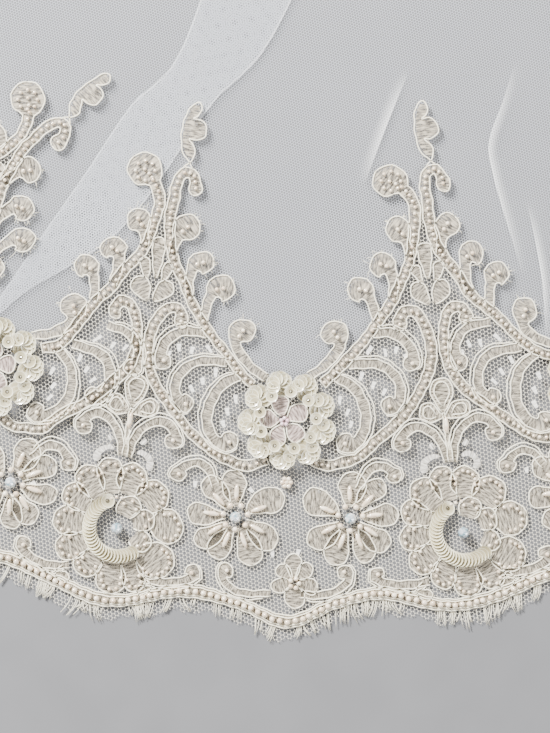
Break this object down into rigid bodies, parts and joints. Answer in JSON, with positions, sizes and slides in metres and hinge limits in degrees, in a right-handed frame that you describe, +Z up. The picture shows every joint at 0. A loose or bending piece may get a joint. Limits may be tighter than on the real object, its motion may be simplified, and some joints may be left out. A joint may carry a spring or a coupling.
{
  "type": "bridal veil",
  "caption": "Single-tier bridal veil laid flat: fine net gathered onto a hair comb, with a deep corded and beaded lace border round its rounded hem.",
  "frame": {"origin": "middle of the veil's width and length as it lies, on the surface it lies on", "axes": "+Z up out of the surface; +Y from the rounded hem to the comb; +X to the right seen from above with the comb at the top"},
  "size_m": [0.8354, 0.98, 0.0095],
  "materials": {
    "tulle_body": "fine hexagonal net",
    "lace_border": "corded and beaded lace",
    "hem_fringe": "trimmed net and short threads",
    "gather_binding": "satin ribbon",
    "comb": "pearly plastic"
  },
  "bodies": {
    "root": {"tulle_body": "tulle_body", "lace_border": "lace_border", "hem_fringe": "hem_fringe", "gather_binding": "gather_binding", "comb": "comb"}
  },
  "joints": []
}
